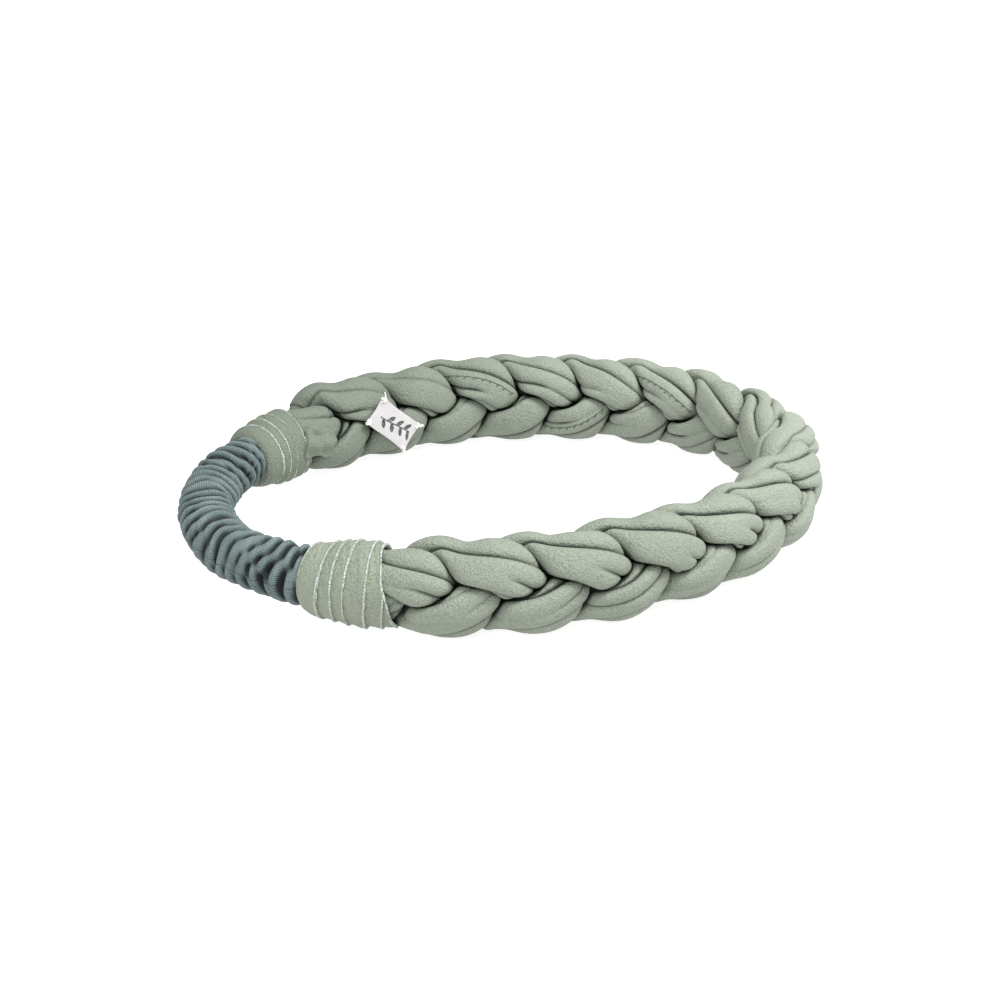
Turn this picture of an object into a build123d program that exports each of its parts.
"""Plaited soft-leather headband: a closed oval ring that lies on its lower edge.

Three soft leather strands are plaited into a band.  Its two ends are wound round with a leather
strip, and a gathered knit sleeve with an elastic inside closes the ring at the nape.
Millimetres, +Z up.  +X points to the crown, the middle of the plait; the sleeve is at -X.
Distances round the ring are counted along its centre line from the crown, + towards +Y.
"""
from build123d import *
import os
from math import atan2, ceil, copysign, cos, degrees, floor, pi, radians, sin, tan

# The ring's centre line is an oval of four arcs: two end arcs on the X axis, two side arcs on Y.
ring_half_length = 85.5
ring_half_width = 63.5
end_radius = 52.5

# The plait.
band_height = 24.0
band_thickness = 19.6
strand_diameter = 6.6
plait_period = 65.0          # length of ring in which a strand returns to the same place
crown_offset = 1.45          # from the crown to the next place where strand a is on top
corner_up = 0.95             # how far the rounded route passes inside its top corners
corner_out = 2.6             # and inside its side corners
corner_middle = 0.55         # height of the side corners, as a share of the top corners'
hinge_gap = 0.3              # between the two halves of each strand at the crown
taper_length = 16.0          # the plait narrows over this length towards a binding
taper_size = 0.75            # and has this share of its full size at the binding
tucked_length = 12.0         # of strand inside a binding
bound_from = 1.5             # inside the binding the strands run straight from here
bound_up = 4.4               # height of the one in the middle there, the other two half as far
bound_out = 3.6              # and distance of those two from the centre line

# The bindings: a leather strip wound round the strand ends and the sleeve end.
binding_length = 21.0
binding_radius_plait = 11.0
binding_radius_sleeve = 8.9
strip_turns = 5
strip_step = 0.35            # how far each turn of the strip stands over the next
bore_radius_plait = 10.0
bore_radius_sleeve = 8.3
sleeve_socket = 5.0          # length of the narrow part of the bore, round the sleeve end

# The gathered sleeve and the flat elastic inside it.
sleeve_visible = 91.0
sleeve_radius = 7.8
sleeve_wall = 1.6
sleeve_tuck = 3.0
elastic_width = 8.0
elastic_thickness = 1.2
elastic_tail = 11.0          # of elastic past the end arc, between the strand ends
tail_clearance = 0.3

# The thread that ties the strand ends round the elastic, under each binding.
whipping_thread = 0.7
whipping_turns = 6
whipping_overlap = 0.08      # of one turn pressed into the next
whipping_radius = 8.35
whipping_place = 9.0         # from the plait edge of the binding
whipping_lift = 0.45         # the ring bows out from the binding's straight axis

# The woven label on the inner face of the left side, and the stitch at each of its corners.
label_length = 18.5
label_height = 10.5
label_thickness = 0.5
label_place = 139.0          # from the crown
label_up = 1.5               # above mid height
label_turn = -42.0           # degrees, its crown end down
label_gap = 0.6              # between the label's back and the strands
label_stitch = (2.4, 0.5, 0.4)
label_stitch_inset = 1.2     # from each corner, along both edges

side_radius = (ring_half_length**2 + ring_half_width**2 - 2 * ring_half_length * end_radius) / (
    2 * (ring_half_width - end_radius))
end_angle = atan2(side_radius - ring_half_width, ring_half_length - end_radius)
end_arc = end_radius * end_angle
side_arc = side_radius * (pi - 2 * end_angle)
sleeve_centre = ring_half_length - end_radius
half_plait = 2 * end_arc + side_arc - sleeve_visible / 2 - binding_length
mid_height = band_height / 2


def place(distance, outward=0.0, up=0.0):
    """The point beside the ring's centre line, at a distance from the crown."""
    normal, centre, radius = ring_normal(distance)
    return centre + normal * (radius + outward) + Vector(0, 0, mid_height + up)


def ring_normal(distance):
    """Outward direction, arc centre and arc radius of the ring at a distance from the crown."""
    side = 1 if distance >= 0 else -1
    along = abs(distance)
    if along <= end_arc:
        radius, angle = end_radius, along / end_radius
        centre = Vector(sleeve_centre, 0)
    elif along <= end_arc + side_arc:
        radius, angle = side_radius, end_angle + (along - end_arc) / side_radius
        centre = Vector(0, side * (ring_half_width - side_radius))
    else:
        radius, angle = end_radius, pi - end_angle + (along - end_arc - side_arc) / end_radius
        centre = Vector(-sleeve_centre, 0)
    return Vector(cos(angle), side * sin(angle)), centre, radius


def strand_route(number):
    """Corner points of one strand, from inside the right binding to inside the left one.

    There are six corners to a period: over the top, across to the inner edge, under, and back.
    """
    top = (band_height - strand_diameter) / 2 + corner_up
    edge = (band_thickness - strand_diameter) / 2 + corner_out
    heights = (1, corner_middle, -corner_middle, -1, -corner_middle, corner_middle)
    step = plait_period / 6
    first = ceil((-half_plait - crown_offset) / step)
    last = floor((half_plait - crown_offset) / step)
    corners = []
    for n in range(first, last + 1):
        distance = crown_offset + n * step
        from_binding = half_plait - abs(distance)
        size = min(taper_size + (1 - taper_size) * from_binding / taper_length, 1)
        phase = n + 2 * number
        corners.append((distance, size * edge * (0, 1, -1)[phase % 3], size * top * heights[phase % 6]))
    bound_corners = [bound_place(corners[0]), bound_place(corners[-1])]
    for inside in (bound_from, tucked_length):
        corners.insert(0, (-half_plait - inside, *bound_corners[0]))
        corners.append((half_plait + inside, *bound_corners[1]))
    return [place(*corner) for corner in corners]


def bound_place(corner):
    """Where a strand lies in its binding: one in the middle, two side by side above or below it."""
    _, outward, up = corner
    if abs(outward) < strand_diameter / 4:
        return 0, copysign(bound_up, up)
    return copysign(bound_out, outward), copysign(bound_up / 2, up)


def corner_radii(points):
    """For each corner, 0.45 of its shorter run divided by the tangent of half its turn."""
    radii = []
    for before, here, after in zip(points, points[1:], points[2:]):
        run_in, run_out = here - before, after - here
        half_turn = radians(run_in.get_angle(run_out)) / 2
        radii.append(0.45 * min(run_in.length, run_out.length) / tan(half_turn))
    return radii


def whole_strand(number):
    """One strand, a soft leather tube pressed flat on itself, as a round bar along its route."""
    points = strand_route(number)
    route = FilletPolyline(*points, radius=corner_radii(points))
    start = Plane(origin=route @ 0, z_dir=route % 0)
    return sweep(start * Circle(strand_diameter / 2), path=route)


def half_space(side):
    """Everything on one side of the hinge plane, clear of it by half the gap."""
    size = 4 * ring_half_length
    return Pos(0, side * (size + hinge_gap) / 2, 0) * Box(size, size, size)


def elastic(clearance=0.0):
    """The flat elastic: the end arc round the nape and a straight tail into each binding."""
    arc = CenterArc((-sleeve_centre, 0), end_radius, 180 - degrees(end_angle), 2 * degrees(end_angle))
    first = Line(arc @ 0 - (arc % 0) * elastic_tail, arc @ 0)
    last = Line(arc @ 1, arc @ 1 + (arc % 1) * elastic_tail)
    outline = trace([first, arc, last], elastic_thickness + 2 * clearance)
    width = elastic_width + 2 * clearance
    return Pos(0, 0, mid_height - width / 2) * extrude(outline, amount=width)


def sleeve():
    """The gathered knit sleeve: a thick-walled tube round the end arc, tucked in at both ends."""
    reach = degrees((sleeve_visible / 2 + sleeve_tuck) / end_radius)
    section = Circle(sleeve_radius) - Circle(sleeve_radius - sleeve_wall)
    turned = Pos(end_radius, 0, 0) * (Plane.XZ * section)
    swept = revolve(turned, axis=Axis.Z, revolution_arc=2 * reach)
    return Pos(-sleeve_centre, 0, mid_height) * (Rot(0, 0, 180 - reach) * swept)


def binding_plane(side):
    """Stands at the plait edge of a binding, its Z along the binding towards the sleeve."""
    start = place(side * half_plait)
    end = place(side * (half_plait + binding_length))
    return Plane(origin=start, x_dir=(0, 0, 1), z_dir=end - start)


def binding(side):
    """The wound leather strip: five overlapping turns, each edge standing over the next turn."""
    turn = binding_length / strip_turns
    fall = (binding_radius_plait - binding_radius_sleeve) / strip_turns
    outline = [(bore_radius_plait, 0)]
    for n in range(strip_turns):
        radius = binding_radius_plait - n * fall
        outline += [(radius, n * turn), (radius - fall + strip_step, (n + 1) * turn)]
    narrow = binding_length - sleeve_socket
    outline += [(bore_radius_sleeve, binding_length), (bore_radius_sleeve, narrow), (bore_radius_plait, narrow)]
    section = make_face(Polyline(*[(r, 0, z) for r, z in outline], close=True))
    return binding_plane(side) * revolve(section, axis=Axis.Z)


def whipping(side):
    """Turns of waxed thread round the bound strand ends, pressed against each other."""
    pitch = whipping_thread - whipping_overlap
    first = whipping_place - pitch * (whipping_turns - 1) / 2
    turns = Sketch() + [
        Pos(whipping_radius, first + n * pitch) * Circle(whipping_thread / 2) for n in range(whipping_turns)
    ]
    ring = revolve(Plane.XZ * turns, axis=Axis.Z)
    outward = ring_normal(side * half_plait)[0] * whipping_lift
    return Pos(*outward) * (binding_plane(side) * ring)


def label_location():
    """On the label's back, its Z towards the middle of the ring and its X along the label."""
    clear = band_thickness / 2 + label_gap
    inward = -ring_normal(label_place)[0]
    upright = Plane(
        origin=place(label_place, -clear, label_up), x_dir=(-inward.Y, inward.X, 0), z_dir=inward)
    return upright.location * Rot(0, 0, label_turn)


def label():
    """The woven cotton label, a flat rectangle."""
    size = Box(label_length, label_height, label_thickness, align=(Align.CENTER, Align.CENTER, Align.MIN))
    return label_location() * size


def label_stitches():
    """A short stitch over each corner of the label."""
    spread_x = label_length / 2 - label_stitch_inset
    spread_y = label_height / 2 - label_stitch_inset
    bar = Box(*label_stitch, align=(Align.CENTER, Align.CENTER, Align.MIN))
    corners = [(x, y) for x in (-spread_x, spread_x) for y in (-spread_y, spread_y)]
    bars = [
        label_location() * Pos(x, y, label_thickness) * Rot(0, 0, 45 if x * y > 0 else -45) * bar
        for x, y in corners
    ]
    return Compound(children=bars)


os.makedirs("parts", exist_ok=True)
sides = {"right": -1, "left": 1}
elastic_room = elastic(tail_clearance)
for number, name in enumerate("abc"):
    strand = whole_strand(number) - elastic_room
    for side_name, side in sides.items():
        export_step(strand & half_space(side), f"parts/strand_{name}_{side_name}.step")
for side_name, side in sides.items():
    export_step(binding(side), f"parts/binding_{side_name}.step")
    export_step(whipping(side), f"parts/whipping_{side_name}.step")
export_step(sleeve(), "parts/ruched_sleeve.step")
export_step(elastic(), "parts/elastic_band.step")
export_step(label(), "parts/label.step")
export_step(label_stitches(), "parts/label_stitches.step")
